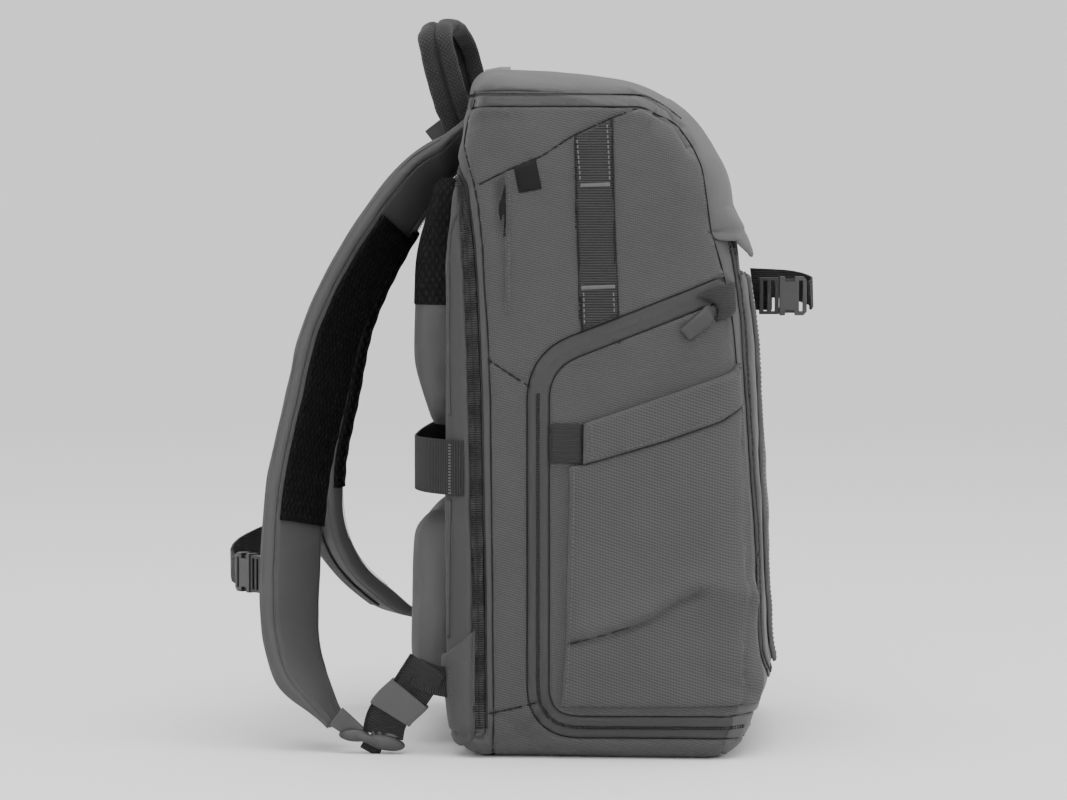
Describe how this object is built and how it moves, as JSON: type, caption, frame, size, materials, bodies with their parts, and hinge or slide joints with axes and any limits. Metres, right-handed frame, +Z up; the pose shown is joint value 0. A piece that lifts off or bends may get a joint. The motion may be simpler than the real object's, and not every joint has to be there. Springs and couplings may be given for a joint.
{
  "type": "camera backpack",
  "caption": "Tall grey camera backpack on its base: boxy padded body, side door, stretch pockets, hooded front pocket, grab handle and bowed shoulder straps.",
  "frame": {"origin": "middle of the flat base, on the surface that the bag stands on", "axes": "+Z up, +X away from the wearer's back towards the front pocket, +Y to the wearer's right"},
  "size_m": [0.4069, 0.298, 0.498],
  "materials": {
    "shell_cloth": "fine ribbed weave, matt mid grey",
    "coated_cloth": "smooth coated weave, a little lighter",
    "webbing": "ribbed dark grey webbing",
    "zipper_tape": "dark coated zipper tape with a coil line",
    "spacer_mesh": "black open spacer mesh",
    "buckle_plastic": "grey moulded plastic, satin",
    "rubber_pull": "soft dark grey rubber",
    "pull_metal": "grey metal, slightly worn",
    "label_cloth": "black woven label, bare"
  },
  "bodies": {
    "root": {"main_body": "shell_cloth", "back_panel": "shell_cloth", "side_door": "shell_cloth", "side_pocket_left": "shell_cloth", "side_pocket_right": "shell_cloth", "slot_flap": "shell_cloth", "zip_garage": "shell_cloth", "upper_back_pad_left": "shell_cloth", "upper_back_pad_right": "shell_cloth", "lower_back_pad": "shell_cloth", "grab_handle": "shell_cloth", "shoulder_strap_left": "shell_cloth", "shoulder_strap_right": "shell_cloth", "webbing_keeper": "shell_cloth", "lid": "coated_cloth", "hood": "coated_cloth", "front_pocket": "coated_cloth", "front_flap": "coated_cloth", "wing_left": "coated_cloth", "wing_right": "coated_cloth", "pocket_hem_left": "webbing", "pocket_hem_right": "webbing", "side_webbing_left": "webbing", "side_webbing_right": "webbing", "pocket_tab": "webbing", "trolley_strap": "webbing", "strap_rail_left": "webbing", "strap_rail_right": "webbing", "lower_webbing_left": "webbing", "lower_webbing_right": "webbing", "tripod_strap": "webbing", "tripod_tab": "webbing", "chest_webbing_left": "webbing", "chest_webbing_right": "webbing", "lid_zipper_left": "zipper_tape", "lid_zipper_right": "zipper_tape", "back_zipper": "zipper_tape", "side_door_zipper": "zipper_tape", "front_zipper": "zipper_tape", "upper_pad_mesh_left": "spacer_mesh", "upper_pad_mesh_right": "spacer_mesh", "strap_mesh_left": "spacer_mesh", "strap_mesh_right": "spacer_mesh", "ladder_lock_left": "buckle_plastic", "ladder_lock_right": "buckle_plastic", "tripod_buckle_socket": "buckle_plastic", "tripod_buckle_plug": "buckle_plastic", "chest_clip_left": "buckle_plastic", "chest_clip_right": "buckle_plastic", "chest_buckle_socket": "buckle_plastic", "chest_buckle_plug": "buckle_plastic", "side_door_pull": "rubber_pull", "back_zip_pull": "rubber_pull", "lid_zip_pull": "pull_metal", "side_label": "label_cloth"}
  },
  "joints": []
}
